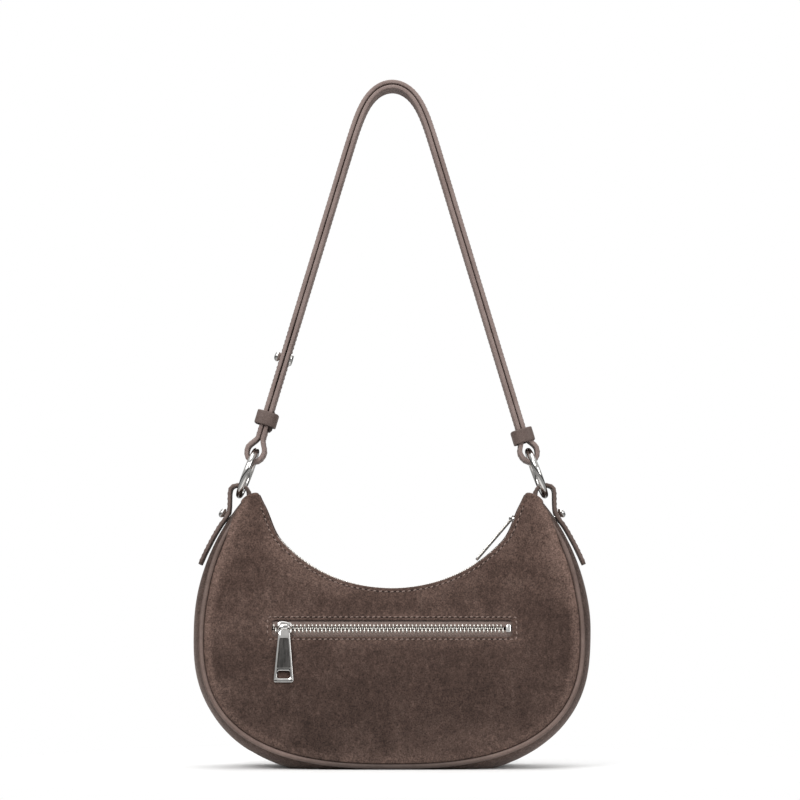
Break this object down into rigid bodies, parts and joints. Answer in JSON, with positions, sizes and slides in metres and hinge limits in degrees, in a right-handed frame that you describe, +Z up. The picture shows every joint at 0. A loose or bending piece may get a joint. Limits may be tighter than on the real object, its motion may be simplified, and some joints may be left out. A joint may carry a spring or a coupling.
{
  "type": "crossbody bag",
  "caption": "Crescent suede shoulder bag with a curved zip mouth, a straight front zip pocket and a doubled leather strap on metal rings.",
  "frame": {"origin": "centre of the flat underside that the bag stands on", "axes": "+Z up through the strap, +X to the right as seen from the pocket side, -Y out of the zip pocket"},
  "size_m": [0.25, 0.0704, 0.4364],
  "materials": {
    "suede": "brown suede with a short, brushed nap",
    "smooth_leather": "smooth fine-grained brown leather, satin",
    "strap_leather": "smooth taupe leather with painted edges, satin",
    "lining_cloth": "plain woven cotton",
    "zip_tape": "woven polyester tape",
    "zip_metal": "polished zip teeth",
    "polished_metal": "polished nickel",
    "board": "plain stiffener sheet"
  },
  "bodies": {
    "bag": {"gusset": "smooth_leather", "piping_pocket_side": "smooth_leather", "piping_plain_side": "smooth_leather", "pocket_panel": "suede", "plain_panel": "suede", "lining": "lining_cloth", "base_board": "board", "mouth_tape_pocket_side": "zip_tape", "mouth_tape_plain_side": "zip_tape", "mouth_teeth_pocket_side": "zip_metal", "mouth_teeth_plain_side": "zip_metal", "left_zip_end": "smooth_leather", "right_zip_end": "smooth_leather", "pocket_tape_upper": "zip_tape", "pocket_tape_lower": "zip_tape", "pocket_teeth_upper": "zip_metal", "pocket_teeth_lower": "zip_metal", "pocket_zip_stop": "zip_metal", "pocket_pouch": "lining_cloth", "left_tab": "strap_leather", "right_tab": "strap_leather", "left_tab_stud": "polished_metal", "right_tab_stud": "polished_metal"},
    "mouth_slider": {"mouth_slider": "polished_metal"},
    "mouth_puller": {"mouth_puller": "polished_metal"},
    "pocket_slider": {"pocket_slider": "polished_metal"},
    "pocket_puller": {"pocket_puller": "polished_metal"},
    "left_ring": {"left_ring": "polished_metal"},
    "right_ring": {"right_ring": "polished_metal"},
    "strap": {"strap": "strap_leather", "strap_stud": "polished_metal", "strap_stud_screw": "polished_metal"},
    "left_keeper": {"left_keeper": "strap_leather"},
    "right_keeper": {"right_keeper": "strap_leather"}
  },
  "joints": [
    {"name": "mouth_slider_run", "type": "hinge", "parent": "bag", "child": "mouth_slider", "pos_m": [0, 0, 0.208], "axis": [0, 1, 0], "range_deg": [0, 110]},
    {"name": "mouth_puller_flip", "type": "hinge", "parent": "mouth_slider", "child": "mouth_puller", "pos_m": [0.07603, 0, 0.15575], "axis": [0, 1, 0], "range_deg": [0, 150]},
    {"name": "pocket_slider_run", "type": "slide", "parent": "bag", "child": "pocket_slider", "axis": [1, 0, 0], "range_m": [0, 0.1325]},
    {"name": "pocket_puller_lift", "type": "hinge", "parent": "pocket_slider", "child": "pocket_puller", "pos_m": [-0.067, -0.02404, 0.08732], "axis": [-1, 0, 0], "range_deg": [0, 120]},
    {"name": "left_ring_turn", "type": "hinge", "parent": "bag", "child": "left_ring", "pos_m": [-0.0916, 0, 0.1844], "axis": [-0.9367, 0, 0.3502], "continuous": true},
    {"name": "right_ring_turn", "type": "hinge", "parent": "bag", "child": "right_ring", "pos_m": [0.0916, 0, 0.1844], "axis": [0.9367, 0, 0.3502], "continuous": true},
    {"name": "strap_lean", "type": "hinge", "parent": "bag", "child": "strap", "pos_m": [0, 0, 0.1844], "axis": [1, 0, 0], "range_deg": [-20, 20]},
    {"name": "left_keeper_slide", "type": "slide", "parent": "strap", "child": "left_keeper", "axis": [0.2863, 0, 0.9581], "range_m": [-0.01, 0.03]},
    {"name": "right_keeper_slide", "type": "slide", "parent": "strap", "child": "right_keeper", "axis": [-0.2863, 0, 0.9581], "range_m": [0, 0.15]}
  ]
}
